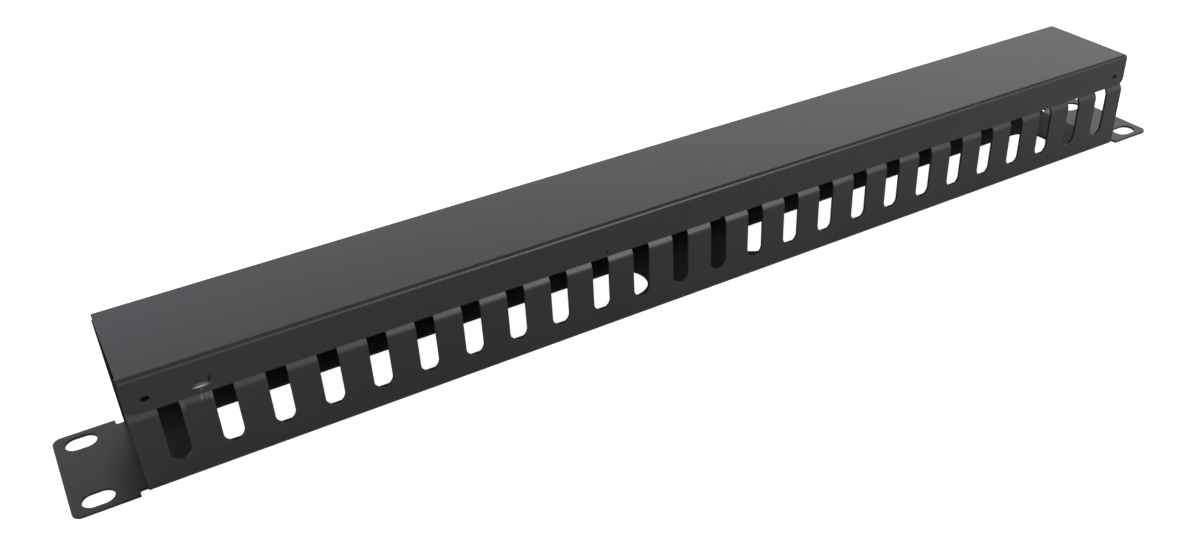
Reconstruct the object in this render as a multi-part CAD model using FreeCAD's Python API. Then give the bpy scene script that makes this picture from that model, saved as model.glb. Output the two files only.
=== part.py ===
import FreeCAD, Part

import math
import os

from FreeCAD import Vector

# Rack cable organizer, one rack unit high, lying on its back.
# +X runs across the rack, +Y up the rack and +Z out of its front. Upper and lower are along Y.
# The origin is the middle of the back plate's rear face. Sizes are in millimetres.

# Sheet metal, the same for both pieces
SHEET = 1.0

# Mounting ears, to the 19 inch rack standard
PANEL_WIDTH = 482.6
PANEL_HEIGHT = 43.7
EAR_CORNER_RADIUS = 3.0
HOLE_SPACING_X = 465.1
HOLE_SPACING_Y = 31.75
HOLE_LENGTH = 10.4
HOLE_HEIGHT = 7.1

# Channel: two slotted walls folded up from the back plate
CHANNEL_LENGTH = 435.6
CHANNEL_WIDTH = 42.4
FOLD_RADIUS = 2.0
RELIEF_WIDTH = 2.6
RELIEF_CORNER_RADIUS = 0.8

# Fingers, with a sloping shoulder that steps their tips in under the cover
GAP_COUNT = 25
GAP_PITCH = 17.1
GAP_WIDTH = 6.8
GAP_BOTTOM = 8.4
SHOULDER_HEIGHT = 27.7
SHOULDER_STEP = 2.2
SHOULDER_SLOPE = 60.0
SHOULDER_RADIUS = 4.0
NECK_RADIUS = 1.0

# Two long openings in the back plate, for cables from the rear
REAR_OPENING_WIDTH = 20.0
REAR_OPENING_LENGTH = 176.2
BRIDGE_LENGTH = 41.8

# Cover, a shallow channel that fits over the finger tips and has slid a little to the left
COVER_LENGTH = 433.4
COVER_WIDTH = 44.4
COVER_TOP = 44.5
LIP_HEIGHT = 13.4
COVER_FOLD_RADIUS = 1.6
LIP_CORNER_RADIUS = 3.0
COVER_SHIFT = -0.7

# Small punched hole near each end of the lower lip, by which the cover hangs to be coated
LIP_HOLE_LENGTH = 2.8
LIP_HOLE_HEIGHT = 1.8
LIP_HOLE_X = 210.4
LIP_HOLE_Z = 35.9

# Dent in the lower lip, left by prising the cover off
DENT_X = -193.7
DENT_Z = 34.2
DENT_LENGTH = 5.8
DENT_RADIUS = 1.0
DENT_DEPTH = 0.35

TIP_TOP = COVER_TOP - SHEET
WALL_Y = CHANNEL_WIDTH / 2
FLAT_Y = WALL_Y - FOLD_RADIUS


def bent_line(corners, radii):
    """Straight runs through the corners, with a tangent arc of the given radius at each bend."""
    edges = []
    start = corners[0]
    for before, corner, after, radius in zip(corners, corners[1:], corners[2:], radii):
        back = (before - corner).normalize()
        ahead = (after - corner).normalize()
        half_angle = back.getAngle(ahead) / 2
        reach = radius / math.tan(half_angle)
        inward = (back + ahead).normalize()
        middle = corner + inward * (radius / math.sin(half_angle) - radius)
        edges.append(Part.makeLine(start, corner + back * reach))
        edges.append(Part.Arc(corner + back * reach, middle, corner + ahead * reach).toShape())
        start = corner + ahead * reach
    edges.append(Part.makeLine(start, corners[-1]))
    return edges


def inner_corners(corners):
    """The corners moved one sheet thickness to the inner face, along the mitre of each bend."""
    runs = [(after - before).normalize() for before, after in zip(corners, corners[1:])]
    normals = [run.cross(Vector(1, 0, 0)) for run in runs]
    moved = [corners[0] + normals[0] * SHEET]
    for corner, normal, following in zip(corners[1:], normals, normals[1:]):
        mitre = (normal + following) * (1 / (1 + normal.dot(following)))
        moved.append(corner + mitre * SHEET)
    moved.append(corners[-1] + normals[-1] * SHEET)
    return moved


def folded_strip(corners, outer_radii, inner_radii, length):
    """A strip of sheet, folded along X. The corners lie on its outer face, as (y, z)."""
    outer = [Vector(-length / 2, y, z) for y, z in corners]
    inner = inner_corners(outer)
    outline = Part.Wire([
        *bent_line(outer, outer_radii),
        Part.makeLine(outer[-1], inner[-1]),
        *reversed(bent_line(inner, inner_radii)),
        Part.makeLine(inner[0], outer[0]),
    ])
    return Part.Face(outline).extrude(Vector(length, 0, 0))


def slot_tool(length, height, depth):
    """A cutter with round ends, long along X and centred on the origin, that cuts along Z."""
    radius = height / 2
    reach = length / 2 - radius
    left = Vector(-reach, 0, 0)
    right = Vector(reach, 0, 0)
    up = Vector(0, radius, 0)
    along = Vector(radius, 0, 0)
    outline = Part.Wire([
        Part.makeLine(left - up, right - up),
        Part.Arc(right - up, right + along, right + up).toShape(),
        Part.makeLine(right + up, left + up),
        Part.Arc(left + up, left - along, left - up).toShape(),
    ])
    cutter = Part.Face(outline).extrude(Vector(0, 0, depth))
    return cutter.translated(Vector(0, 0, -depth / 2))


def gap_tool(x):
    """A cutter for the gaps at x in both walls, round at the bottom and open at the finger tips."""
    half = GAP_WIDTH / 2
    y = -COVER_WIDTH
    low_left = Vector(x - half, y, GAP_BOTTOM + half)
    low_right = Vector(x + half, y, GAP_BOTTOM + half)
    high_left = Vector(x - half, y, COVER_TOP)
    high_right = Vector(x + half, y, COVER_TOP)
    outline = Part.Wire([
        Part.Arc(low_left, Vector(x, y, GAP_BOTTOM), low_right).toShape(),
        Part.makeLine(low_right, high_right),
        Part.makeLine(high_right, high_left),
        Part.makeLine(high_left, low_left),
    ])
    return Part.Face(outline).extrude(Vector(0, 2 * COVER_WIDTH, 0))


def corner_edges(shape, direction, x):
    """The edges at x and -x that run along direction."""
    tiny = 1e-6
    edges = []
    for edge in shape.Edges:
        turned = edge.tangentAt(edge.FirstParameter).cross(direction).Length
        if turned < tiny and abs(abs(edge.CenterOfMass.x) - x) < tiny:
            edges.append(edge)
    return edges


def back_plate():
    """The flat back with its two ears, and the strips beside the walls cut away."""
    corner = Vector(-PANEL_WIDTH / 2, -PANEL_HEIGHT / 2, 0)
    plate = Part.makeBox(PANEL_WIDTH, PANEL_HEIGHT, SHEET, corner)
    plate = plate.makeFillet(EAR_CORNER_RADIUS, corner_edges(plate, Vector(0, 0, 1), PANEL_WIDTH / 2))

    strip_end = CHANNEL_LENGTH / 2 + RELIEF_WIDTH
    for side in (-1, 1):
        low_y = min(side * FLAT_Y, side * PANEL_HEIGHT)
        corner = Vector(-strip_end, low_y, -SHEET)
        strip = Part.makeBox(2 * strip_end, PANEL_HEIGHT - FLAT_Y, 3 * SHEET, corner)
        upright = corner_edges(strip, Vector(0, 0, 1), strip_end)
        inner = [edge for edge in upright if abs(edge.CenterOfMass.y) < PANEL_HEIGHT / 2]
        plate = plate.cut(strip.makeFillet(RELIEF_CORNER_RADIUS, inner))

    for x in (-HOLE_SPACING_X / 2, HOLE_SPACING_X / 2):
        for y in (-HOLE_SPACING_Y / 2, HOLE_SPACING_Y / 2):
            plate = plate.cut(slot_tool(HOLE_LENGTH, HOLE_HEIGHT, 4 * SHEET).translated(Vector(x, y, 0)))

    opening_x = (BRIDGE_LENGTH + REAR_OPENING_LENGTH) / 2
    for x in (-opening_x, opening_x):
        opening = slot_tool(REAR_OPENING_LENGTH, REAR_OPENING_WIDTH, 4 * SHEET)
        plate = plate.cut(opening.translated(Vector(x, 0, 0)))
    return plate


def wall():
    """The lower wall, from the back plate's fold out to the finger tips, before it is slotted."""
    tip_y = WALL_Y - SHOULDER_STEP
    rise = SHOULDER_STEP * math.tan(math.radians(SHOULDER_SLOPE))
    corners = [
        (-FLAT_Y + FOLD_RADIUS, 0),
        (-WALL_Y, 0),
        (-WALL_Y, SHOULDER_HEIGHT),
        (-tip_y, SHOULDER_HEIGHT + rise),
        (-tip_y, TIP_TOP),
    ]
    outer_radii = [FOLD_RADIUS, SHOULDER_RADIUS, NECK_RADIUS]
    inner_radii = [FOLD_RADIUS - SHEET, SHOULDER_RADIUS - SHEET, NECK_RADIUS + SHEET]
    return folded_strip(corners, outer_radii, inner_radii, CHANNEL_LENGTH)


def finger_channel():
    """The base: back plate, ears and both slotted walls, folded from one sheet."""
    lower_wall = wall()
    upper_wall = lower_wall.mirror(Vector(0, 0, 0), Vector(0, 1, 0))
    channel = back_plate().multiFuse([lower_wall, upper_wall]).removeSplitter()

    middle = (GAP_COUNT - 1) / 2
    return channel.cut([gap_tool((index - middle) * GAP_PITCH) for index in range(GAP_COUNT)])


def cover():
    """The cover: a flat top with a lip folded down along each side."""
    half = COVER_WIDTH / 2
    lip_bottom = COVER_TOP - LIP_HEIGHT
    corners = [(-half, lip_bottom), (-half, COVER_TOP), (half, COVER_TOP), (half, lip_bottom)]
    outer_radii = [COVER_FOLD_RADIUS] * 2
    inner_radii = [COVER_FOLD_RADIUS - SHEET] * 2
    body = folded_strip(corners, outer_radii, inner_radii, COVER_LENGTH)
    across = corner_edges(body, Vector(0, 1, 0), COVER_LENGTH / 2)
    lip_corners = [edge for edge in across if edge.CenterOfMass.z < lip_bottom + SHEET]
    body = body.makeFillet(LIP_CORNER_RADIUS, lip_corners)

    hole = slot_tool(LIP_HOLE_LENGTH, LIP_HOLE_HEIGHT, 4 * SHEET)
    hole = hole.rotated(Vector(0, 0, 0), Vector(1, 0, 0), 90)
    for x in (-LIP_HOLE_X, LIP_HOLE_X):
        body = body.cut(hole.translated(Vector(x, -half, LIP_HOLE_Z)))

    dent_start = Vector(DENT_X - DENT_LENGTH / 2, -half - DENT_RADIUS + DENT_DEPTH, DENT_Z)
    body = body.cut(Part.makeCylinder(DENT_RADIUS, DENT_LENGTH, dent_start, Vector(1, 0, 0)))
    return body.translated(Vector(COVER_SHIFT, 0, 0))


os.makedirs("parts", exist_ok=True)
for name, build in {"finger_channel": finger_channel, "cover": cover}.items():
    (piece,) = build().Solids
    piece.exportStep(f"parts/{name}.step")
    print(name, piece.isValid(), round(piece.Volume, 1))
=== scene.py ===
import math

import bmesh
import bpy
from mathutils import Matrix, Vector


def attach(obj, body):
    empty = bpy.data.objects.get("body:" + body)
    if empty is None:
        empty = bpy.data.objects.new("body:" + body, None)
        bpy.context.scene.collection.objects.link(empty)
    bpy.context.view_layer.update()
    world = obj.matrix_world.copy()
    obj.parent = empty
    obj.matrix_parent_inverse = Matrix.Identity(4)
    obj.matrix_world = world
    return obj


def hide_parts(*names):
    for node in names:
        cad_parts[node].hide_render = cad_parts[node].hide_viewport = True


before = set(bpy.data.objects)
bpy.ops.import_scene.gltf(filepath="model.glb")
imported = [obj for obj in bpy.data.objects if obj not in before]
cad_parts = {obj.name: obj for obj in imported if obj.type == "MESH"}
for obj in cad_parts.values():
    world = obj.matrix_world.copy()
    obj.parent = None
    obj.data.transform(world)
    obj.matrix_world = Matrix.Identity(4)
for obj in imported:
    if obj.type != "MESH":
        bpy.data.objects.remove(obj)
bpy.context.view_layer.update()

# Camera. It stands to the left of the organizer's lower side and looks down along it,
# so the near ear is large and the far ear small.
CAMERA_PLACE = (-0.22441, -0.34573, 0.26009)
CAMERA_DEGREES = (57.414, 2.416, -29.553)

camera = bpy.data.objects.new("camera", bpy.data.cameras.new("camera"))
bpy.context.scene.collection.objects.link(camera)
bpy.context.scene.camera = camera
camera.data.sensor_width = 36.0
camera.data.lens = 36.19
camera.data.clip_start = 0.01
camera.location = CAMERA_PLACE
camera.rotation_euler = [math.radians(angle) for angle in CAMERA_DEGREES]
bpy.context.scene.view_settings.view_transform = "Standard"

# Floor: a plain pale floor, on which the organizer lies on its back.
# It looks white to the camera, glows a little in gloss and keeps the object's shadow.
FLOOR_SIZE = 6.0
FLOOR_COLOR = (0.58, 0.56, 0.525, 1.0)
GLOW_TO_CAMERA = 0.92
GLOW_IN_GLOSS = 0.10


def new_material(name):
    material = bpy.data.materials.new(name)
    material.use_nodes = True
    material.node_tree.nodes.clear()
    return material, material.node_tree.nodes, material.node_tree.links


def combined(nodes, links, operation, *terms):
    """One value worked out from others. Each term is a number or another node's output."""
    node = nodes.new("ShaderNodeMath")
    node.operation = operation
    for term, socket in zip(terms, node.inputs):
        if isinstance(term, float):
            socket.default_value = term
        else:
            links.new(term, socket)
    return node.outputs[0]


floor_mesh = bpy.data.meshes.new("floor")
floor_bm = bmesh.new()
bmesh.ops.create_grid(floor_bm, x_segments=1, y_segments=1, size=FLOOR_SIZE / 2)
floor_bm.to_mesh(floor_mesh)
floor_bm.free()
floor = bpy.data.objects.new("floor", floor_mesh)
bpy.context.scene.collection.objects.link(floor)

floor_material, nodes, links = new_material("pale_floor")
output = nodes.new("ShaderNodeOutputMaterial")
together = nodes.new("ShaderNodeAddShader")
matt = nodes.new("ShaderNodeBsdfDiffuse")
matt.inputs["Color"].default_value = FLOOR_COLOR
glow = nodes.new("ShaderNodeEmission")
ray = nodes.new("ShaderNodeLightPath").outputs
in_gloss = combined(nodes, links, "MAXIMUM", ray["Is Glossy Ray"], ray["Is Transmission Ray"])
gloss_glow = combined(nodes, links, "MULTIPLY", in_gloss, GLOW_IN_GLOSS)
whole_glow = combined(
    nodes, links, "MULTIPLY_ADD", ray["Is Camera Ray"], GLOW_TO_CAMERA, gloss_glow
)
links.new(whole_glow, glow.inputs["Strength"])
links.new(matt.outputs[0], together.inputs[0])
links.new(glow.outputs[0], together.inputs[1])
links.new(together.outputs[0], output.inputs["Surface"])
floor_mesh.materials.append(floor_material)

# Light: a pale sky with a bright, slightly cool band about 30 degrees up, dim above that and a
# little lighter overhead, and a shade cooler to the left. One large soft lamp low in front, to
# the right, draws the bright line along the cover's fold.
SKY_COOL = (2.04, 2.12, 2.40, 1)
SKY_BY_HEIGHT = (
    (0.37, (1.22, 1.21, 1.20, 1)),
    (0.43, (1.02, 1.03, 1.04, 1)),
    (0.48, SKY_COOL),
    (0.515, SKY_COOL),
    (0.58, (0.33, 0.28, 0.20, 1)),
    (0.74, (0.33, 0.30, 0.25, 1)),
    (0.95, (0.58, 0.575, 0.565, 1)),
)
SKY_BY_SIDE = (
    (0.10, (0.97, 0.985, 1.03, 1)),
    (0.60, (1.0, 0.985, 0.97, 1)),
)
LAMP_PLACE = Vector((0.46, -1.0, 0.50))
LAMP_TARGET = Vector((0, 0, 0.02))


def banded(nodes, links, value, bands):
    """A colour that runs through the bands, each with its own place along the value."""
    ramp = nodes.new("ShaderNodeValToRGB")
    steps = ramp.color_ramp.elements
    for step, (position, color) in zip(steps, (bands[0], bands[-1])):
        step.position = position
        step.color = color
    for position, color in bands[1:-1]:
        steps.new(position).color = color
    links.new(value, ramp.inputs[0])
    return ramp.outputs[0]


world = bpy.data.worlds.new("studio")
bpy.context.scene.world = world
world.use_nodes = True
nodes = world.node_tree.nodes
links = world.node_tree.links
nodes.clear()
direction = nodes.new("ShaderNodeSeparateXYZ")
links.new(nodes.new("ShaderNodeTexCoord").outputs["Generated"], direction.inputs[0])
tint = nodes.new("ShaderNodeMix")
tint.data_type = "RGBA"
tint.blend_type = "MULTIPLY"
tint.inputs["Factor"].default_value = 1.0
links.new(banded(nodes, links, direction.outputs["Z"], SKY_BY_HEIGHT), tint.inputs["A"])
links.new(banded(nodes, links, direction.outputs["X"], SKY_BY_SIDE), tint.inputs["B"])
background = nodes.new("ShaderNodeBackground")
world_output = nodes.new("ShaderNodeOutputWorld")
links.new(tint.outputs["Result"], background.inputs["Color"])
links.new(background.outputs[0], world_output.inputs["Surface"])

lamp = bpy.data.lights.new("front_lamp", "AREA")
lamp.color = (1.0, 0.97, 0.92)
lamp.shape = "RECTANGLE"
lamp.size = 0.50
lamp.size_y = 0.7
lamp.energy = 4.7
lamp_holder = bpy.data.objects.new("front_lamp", lamp)
lamp_holder.location = LAMP_PLACE
lamp_holder.rotation_euler = (LAMP_TARGET - LAMP_PLACE).to_track_quat("-Z", "Y").to_euler()
lamp_holder.visible_camera = False
bpy.context.scene.collection.objects.link(lamp_holder)

# Finger channel: back plate, ears and both slotted walls, folded from one steel sheet and powder
# coated satin black. The finger below the cover's dent is scuffed where the same tool slipped.
# Inside the duct the coat is rougher and painted darker as painted shade, and the corner between
# the left ear and the wall has a painted shade.
SAME_POINT = 1e-6
EDGE_ROUND = 0.00018
FLAT_ANGLE = math.radians(0.5)
CUT_ANGLE = math.radians(50)

COAT_DARK = (0.0096, 0.0096, 0.0100, 1)
COAT_LIGHT = (0.0133, 0.0130, 0.0124, 1)
COAT_SHINE = 0.5
SATIN_ROUGHNESS = (0.30, 0.38)
NOISE_SPAN = (0.3, 0.7)
BLOTCH_SCALE = 14
BLOTCH_SPAN = (0.35, 0.65)
PEEL_SCALE = 850
PEEL_DEPTH = 0.000006
GRAIN_SCALE = 4200
GRAIN_DEPTH = 0.0000015

# Each mark is its centre, its reach, and where they aren't 0 and 1 its turn and its strength.
FINGER_SCUFFS = (
    ((-0.1949, -0.0205, 0.0288), (0.0005, 0.0030, 0.0016), 10, 1.0),
    ((-0.1934, -0.0205, 0.0290), (0.0012, 0.0030, 0.0018), 20, 0.4),
    ((-0.1919, -0.0210, 0.0284), (0.0006, 0.0030, 0.0022), 15, 0.9),
    ((-0.2011, -0.0205, 0.0282), (0.0009, 0.0030, 0.0034), -8, 0.4),
)
SCUFF_COLOR = (0.125, 0.122, 0.114, 1)
STREAK_SCALE = 2600
STREAK_STRENGTH = (0.35, 1)
# Painted shade in the corner between the left ear and the wall, not a mark of the coat.
EAR_CORNER_PAINTED_SHADE = (((-0.2185, -0.0210, 0.0010), (0.0125, 0.0380, 0.0016), 0, 0.45),)
# Colour of the dark marks: dirt specks, a tick, and painted shade.
DARK_MARK_AND_SHADE_COLOR = (0.002, 0.002, 0.002, 1)
MARK_RIM = 0.05
MARK_CORE = 0.6

# Box inside the duct, where the colour is painted shade and the coat is rougher.
DUCT_INSIDE_SHADE_AND_MATT_BOX = (0.2174, 0.0208, 0.0270)
DUCT_BORDER = 0.0002
# Colour of the painted shade inside the duct.
DUCT_PAINTED_SHADE_COLOR = (0.0045, 0.0045, 0.0045, 1)
DULL_ROUGHER = 0.35


def coated_sheet(node, name, coat):
    """A coated copy of the folded sheet with round edges, which stands for the plain one."""
    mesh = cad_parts[node].data.copy()
    mesh.name = name
    sheet = bmesh.new()
    sheet.from_mesh(mesh)
    bmesh.ops.remove_doubles(sheet, verts=sheet.verts, dist=SAME_POINT)
    bmesh.ops.dissolve_limit(sheet, angle_limit=FLAT_ANGLE, verts=sheet.verts, edges=sheet.edges)
    cut_edges = [
        edge for edge in sheet.edges
        if edge.is_manifold and edge.calc_face_angle() > CUT_ANGLE
    ]
    bmesh.ops.bevel(
        sheet, geom=cut_edges, offset=EDGE_ROUND, offset_type="OFFSET", affect="EDGES",
        segments=2, profile=0.5, material=-1, clamp_overlap=True,
    )
    for face in sheet.faces:
        face.smooth = True
    sheet.to_mesh(mesh)
    sheet.free()
    mesh.materials.clear()
    mesh.materials.append(coat)
    piece = bpy.data.objects.new(name, mesh)
    bpy.context.scene.collection.objects.link(piece)
    even = piece.modifiers.new("even_shading", "WEIGHTED_NORMAL")
    even.keep_sharp = True
    return piece


def on_piece(nodes):
    """A point's place in the piece's own coordinates."""
    return nodes.new("ShaderNodeTexCoord").outputs["Object"]


def pattern(nodes, links, scale, detail):
    """Noise of the given scale."""
    noise = nodes.new("ShaderNodeTexNoise")
    noise.inputs["Scale"].default_value = scale
    noise.inputs["Detail"].default_value = detail
    links.new(on_piece(nodes), noise.inputs["Vector"])
    return noise.outputs["Fac"]


def spread(nodes, links, value, limits, results):
    """The value stretched from its limits to the results, and held within them."""
    stretch = nodes.new("ShaderNodeMapRange")
    stretch.inputs["From Min"].default_value = limits[0]
    stretch.inputs["From Max"].default_value = limits[1]
    stretch.inputs["To Min"].default_value = results[0]
    stretch.inputs["To Max"].default_value = results[1]
    links.new(value, stretch.inputs["Value"])
    return stretch.outputs["Result"]


def mark(nodes, links, centre, reach, turn=0.0, strength=1.0):
    """A small oval mark, turned about Y. It has its strength near the centre and fades out
    within its reach."""
    oval = nodes.new("ShaderNodeMapping")
    oval.vector_type = "TEXTURE"
    oval.inputs["Location"].default_value = centre
    oval.inputs["Rotation"].default_value = (0, math.radians(turn), 0)
    oval.inputs["Scale"].default_value = reach
    ball = nodes.new("ShaderNodeTexGradient")
    ball.gradient_type = "SPHERICAL"
    links.new(on_piece(nodes), oval.inputs["Vector"])
    links.new(oval.outputs[0], ball.inputs["Vector"])
    return spread(nodes, links, ball.outputs["Fac"], (MARK_RIM, MARK_CORE), (0, strength))


def all_marks(nodes, links, marks):
    """Every mark of the group. Where two overlap, the stronger one counts."""
    strongest = mark(nodes, links, *marks[0])
    for values in marks[1:]:
        strongest = combined(nodes, links, "MAXIMUM", strongest, mark(nodes, links, *values))
    return strongest


def mixed_color(nodes, links, factor, first, second):
    mix = nodes.new("ShaderNodeMix")
    mix.data_type = "RGBA"
    links.new(factor, mix.inputs["Factor"])
    for value, socket in ((first, mix.inputs["A"]), (second, mix.inputs["B"])):
        if isinstance(value, tuple):
            socket.default_value = value
        else:
            links.new(value, socket)
    return mix.outputs["Result"]


def within(nodes, links, half_sizes):
    """One inside the box of those half sizes about the piece's origin, and nothing outside."""
    place = nodes.new("ShaderNodeSeparateXYZ")
    links.new(on_piece(nodes), place.inputs[0])
    parts = []
    for axis, half in zip("XYZ", half_sizes):
        distance = combined(nodes, links, "ABSOLUTE", place.outputs[axis])
        parts.append(spread(nodes, links, distance, (half - DUCT_BORDER, half), (1, 0)))
    in_two = combined(nodes, links, "MULTIPLY", parts[0], parts[1])
    return combined(nodes, links, "MULTIPLY", in_two, parts[2])


def bumpy(nodes, links, height, depth, under=None):
    """The height as a relief of the given depth, on top of the relief under it."""
    bump = nodes.new("ShaderNodeBump")
    bump.inputs["Distance"].default_value = depth
    links.new(height, bump.inputs["Height"])
    if under is not None:
        links.new(under, bump.inputs["Normal"])
    return bump.outputs[0]


def powder_coat(name, scuffs, dark_marks_and_painted_shade, shade_and_matt_box=None):
    """Satin black powder coat, baked on steel, with a faint orange peel and grain. Scuffs are
    pale rubbed marks in it. Inside the given box the coat is rougher and its colour is painted
    shade. Dark marks are darker and lose their shine; they are specks of dirt, a tick, and
    painted shade."""
    material, nodes, links = new_material(name)
    output = nodes.new("ShaderNodeOutputMaterial")
    coat = nodes.new("ShaderNodeBsdfPrincipled")

    cloudy = pattern(nodes, links, BLOTCH_SCALE, 3)
    blotches = spread(nodes, links, cloudy, BLOTCH_SPAN, (0, 1))
    color = mixed_color(nodes, links, blotches, COAT_DARK, COAT_LIGHT)
    grain = pattern(nodes, links, GRAIN_SCALE, 2)
    rough = spread(nodes, links, grain, NOISE_SPAN, SATIN_ROUGHNESS)
    # Inside the box the colour is painted shade, and the coat is rougher.
    if shade_and_matt_box:
        inside = within(nodes, links, shade_and_matt_box)
        color = mixed_color(nodes, links, inside, color, DUCT_PAINTED_SHADE_COLOR)
        rough = combined(nodes, links, "MULTIPLY_ADD", inside, DULL_ROUGHER, rough)

    rubbed = all_marks(nodes, links, scuffs)
    streaky = pattern(nodes, links, STREAK_SCALE, 3)
    streaks = spread(nodes, links, streaky, NOISE_SPAN, STREAK_STRENGTH)
    worn = combined(nodes, links, "MULTIPLY", rubbed, streaks)
    color = mixed_color(nodes, links, worn, color, SCUFF_COLOR)
    # Dark marks: dirt, a tick, and painted shade in the ear corner and at the nick; they lose
    # their shine too.
    dark = all_marks(nodes, links, dark_marks_and_painted_shade)
    color = mixed_color(nodes, links, dark, color, DARK_MARK_AND_SHADE_COLOR)
    shine = spread(nodes, links, dark, (0, 1), (COAT_SHINE, 0))

    peel = bumpy(nodes, links, pattern(nodes, links, PEEL_SCALE, 2), PEEL_DEPTH)
    links.new(color, coat.inputs["Base Color"])
    links.new(rough, coat.inputs["Roughness"])
    links.new(shine, coat.inputs["Specular IOR Level"])
    links.new(bumpy(nodes, links, grain, GRAIN_DEPTH, peel), coat.inputs["Normal"])
    links.new(coat.outputs[0], output.inputs["Surface"])
    return material


channel_coat = powder_coat("channel_coat", FINGER_SCUFFS, EAR_CORNER_PAINTED_SHADE, DUCT_INSIDE_SHADE_AND_MATT_BOX)
channel = coated_sheet("finger_channel", "coated_finger_channel", channel_coat)
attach(channel, "channel")
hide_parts("finger_channel")

# Cover: a shallow channel folded from steel sheet, in the same coat, that rests on the finger
# tips. A tool that prised it off has dented the lower lip near the left end and scraped the coat
# from the steel there.
COVER_SCUFFS = (
    ((-0.1934, -0.0222, 0.0341), (0.0030, 0.0020, 0.0012), 0, 0.8),
    ((-0.1945, -0.0222, 0.0325), (0.0008, 0.0020, 0.0016), 12, 0.35),
)
# A tick at the dent's right end, painted shade at the nick in the lip's edge, and two specks of
# dirt in the coat
COVER_DARK_MARKS_AND_PAINTED_SHADE = (
    ((-0.1915, -0.0222, 0.0357), (0.0008, 0.0020, 0.0022), 0, 0.6),
    ((0.0009, -0.0222, 0.0311), (0.0014, 0.0020, 0.0014)),
    ((-0.0489, -0.0222, 0.0329), (0.0007, 0.0007, 0.0007)),
    ((0.0080, 0.0088, 0.0445), (0.0006, 0.0006, 0.0006), 0, 0.8),
)

# The box round the dent. In it, the faces that don't lie level with the lip are steel.
DENT_LOW = Vector((-0.1976, -0.0223, 0.0332))
DENT_HIGH = Vector((-0.1912, -0.0216, 0.0352))
LEVEL_WITH_LIP = 0.97
BARED = ((-0.1943, -0.0220, 0.0342), (0.0036, 0.01, 0.0014))
SCRAPED_BRIGHT = ((-0.1955, -0.0220, 0.0342), (0.0036, 0.01, 0.0016))
STEEL_DARK = (0.16, 0.16, 0.155, 1)
STEEL_BRIGHT = (0.34, 0.34, 0.33, 1)
STEEL_ROUGHNESS = (0.38, 0.55)
STEEL_GRAIN_SCALE = 3000


def bare_steel(name):
    """Steel in the dent, bright where the tool ran and fading out into the coat."""
    material, nodes, links = new_material(name)
    output = nodes.new("ShaderNodeOutputMaterial")
    steel = nodes.new("ShaderNodeBsdfPrincipled")
    steel.inputs["Metallic"].default_value = 0.8
    bright = mark(nodes, links, *SCRAPED_BRIGHT)
    bared = mark(nodes, links, *BARED)
    steel_color = mixed_color(nodes, links, bright, STEEL_DARK, STEEL_BRIGHT)
    color = mixed_color(nodes, links, bared, COAT_LIGHT, steel_color)
    grain = pattern(nodes, links, STEEL_GRAIN_SCALE, 2)
    rough = spread(nodes, links, grain, NOISE_SPAN, STEEL_ROUGHNESS)
    links.new(color, steel.inputs["Base Color"])
    links.new(rough, steel.inputs["Roughness"])
    links.new(steel.outputs[0], output.inputs["Surface"])
    return material


cover_coat = powder_coat("cover_coat", COVER_SCUFFS, COVER_DARK_MARKS_AND_PAINTED_SHADE)
cover = coated_sheet("cover", "coated_cover", cover_coat)
cover.data.materials.append(bare_steel("bare_steel"))
for face in cover.data.polygons:
    in_dent = all(low < at < high for low, at, high in zip(DENT_LOW, face.center, DENT_HIGH))
    if in_dent and abs(face.normal.y) < LEVEL_WITH_LIP:
        face.material_index = 1
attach(cover, "cover")
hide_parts("cover")
